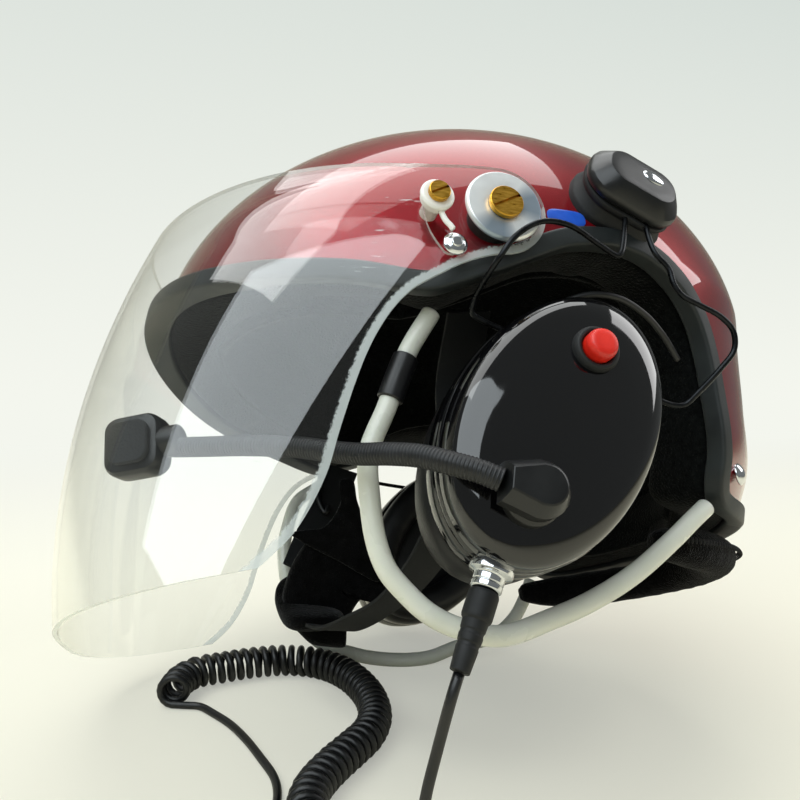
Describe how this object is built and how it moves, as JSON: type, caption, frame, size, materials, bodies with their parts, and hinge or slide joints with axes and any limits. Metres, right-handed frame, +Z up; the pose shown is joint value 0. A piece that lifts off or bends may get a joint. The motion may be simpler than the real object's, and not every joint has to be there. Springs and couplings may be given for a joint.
{
  "type": "paramotor helmet",
  "caption": "Open-face paramotor helmet with a clear bubble visor, swing-out ear cups, microphone boom and a curly cord, lying on its side.",
  "frame": {"origin": "middle of the helmet on the table it lies on, the cords left out", "axes": "-X is the front of the helmet, +Z is up from the table; the helmet leans 27 degrees about X, its crown towards +Y and its right side on the table"},
  "size_m": [0.3368, 0.3284, 0.2867],
  "materials": {
    "shell_paint": "candy red lacquer over glass fibre",
    "liner_foam": "moulded foam",
    "lining_cloth": "matt knitted cloth",
    "neck_velour": "velour over foam",
    "trim_rubber": "satin dark grey",
    "visor_clear": "clear, scratched",
    "black_gloss": "polished black",
    "black_satin": "satin black",
    "leatherette": "smooth black leatherette",
    "milky_tube": "milky translucent",
    "white_nylon": "white nylon",
    "brass": "turned",
    "bright_steel": "polished",
    "wire_steel": "black coated wire",
    "button_red": "moulded red",
    "sticker_blue": "printed film",
    "cable_black": "moulded black"
  },
  "bodies": {
    "helmet": {"outer_shell": "shell_paint", "edge_trim": "trim_rubber", "impact_liner": "liner_foam", "comfort_lining": "lining_cloth", "size_sticker": "sticker_blue", "tube_sleeve": "cable_black", "neck_roll": "neck_velour", "chin_strap_right": "lining_cloth", "chin_strap_left": "lining_cloth", "chin_pad": "lining_cloth", "strap_hook": "black_satin", "crossover_cable": "cable_black", "curly_cord": "cable_black", "tail": "cable_black", "plug": "black_satin", "lead": "cable_black", "pivot_washer_left": "trim_rubber", "pivot_washer_right": "trim_rubber", "pivot_disc_left": "bright_steel", "pivot_disc_right": "bright_steel", "pivot_screw_left": "brass", "pivot_screw_right": "brass", "guide_bush_left": "white_nylon", "guide_bush_right": "white_nylon", "bush_screw_left": "brass", "bush_screw_right": "brass", "lock_pin_left": "bright_steel", "lock_pin_right": "bright_steel", "rear_rivet_left": "bright_steel", "rear_rivet_right": "bright_steel", "clamp_base_left": "black_satin", "clamp_base_right": "black_satin", "clamp_cover_left": "black_satin", "clamp_cover_right": "black_satin", "clamp_screw_left": "bright_steel", "clamp_screw_right": "bright_steel", "guard_tube_left": "milky_tube", "guard_tube_right": "milky_tube"},
    "visor": {"visor": "visor_clear"},
    "yoke_left": {"yoke_left": "wire_steel"},
    "yoke_right": {"yoke_right": "wire_steel"},
    "cup_left": {"cup_body_left": "black_gloss", "cup_cover_left": "black_gloss", "cup_cushion_left": "leatherette", "speaker_left": "black_satin", "ptt_bezel": "black_satin", "boom_base": "black_satin", "connector_ferrule": "bright_steel", "strain_relief": "cable_black"},
    "cup_right": {"cup_body_right": "black_gloss", "cup_cover_right": "black_gloss", "cup_cushion_right": "leatherette", "speaker_right": "black_satin"},
    "ptt_button": {"ptt_button": "button_red"},
    "boom": {"boom_knuckle": "black_satin", "boom_gooseneck": "black_satin", "mic_housing": "black_satin", "mic_grille": "liner_foam"}
  },
  "joints": [
    {"name": "visor_hinge", "type": "hinge", "parent": "helmet", "child": "visor", "pos_m": [-0.00487, 0.02539, 0.17506], "axis": [0, 0.891, -0.454], "range_deg": [0, 40]},
    {"name": "yoke_left_swing", "type": "hinge", "parent": "helmet", "child": "yoke_left", "pos_m": [0.05558, -0.09069, 0.24239], "axis": [-0.9063, 0.1919, 0.3766], "range_deg": [0, 3.5], "stiffness_Nm_per_rad": 1.4, "springref_deg": -20.05, "deforming": ["lead", "crossover_cable"]},
    {"name": "yoke_right_swing", "type": "hinge", "parent": "helmet", "child": "yoke_right", "pos_m": [0.05773, 0.14654, 0.11767], "axis": [0.9806, -0.089, -0.1746], "range_deg": [0, 22], "stiffness_Nm_per_rad": 1.4, "springref_deg": -20.05},
    {"name": "cup_left_tilt", "type": "hinge", "parent": "yoke_left", "child": "cup_left", "pos_m": [0.01938, -0.1013, 0.18191], "axis": [0.9063, -0.1919, -0.3766], "range_deg": [-1, 5]},
    {"name": "cup_right_tilt", "type": "hinge", "parent": "yoke_right", "child": "cup_right", "pos_m": [0.04038, 0.10962, 0.08486], "axis": [0.9806, -0.089, -0.1746], "range_deg": [-6, 6]},
    {"name": "ptt_press", "type": "slide", "parent": "cup_left", "child": "ptt_button", "axis": [0, 0.891, -0.454], "range_m": [0, 0.0015], "stiffness_N_per_m": 900, "springref_m": -0.0006},
    {"name": "boom_swivel", "type": "hinge", "parent": "cup_left", "child": "boom", "pos_m": [-0.01457, -0.15589, 0.14307], "axis": [0, 0.891, -0.454], "range_deg": [-12, 16]}
  ]
}
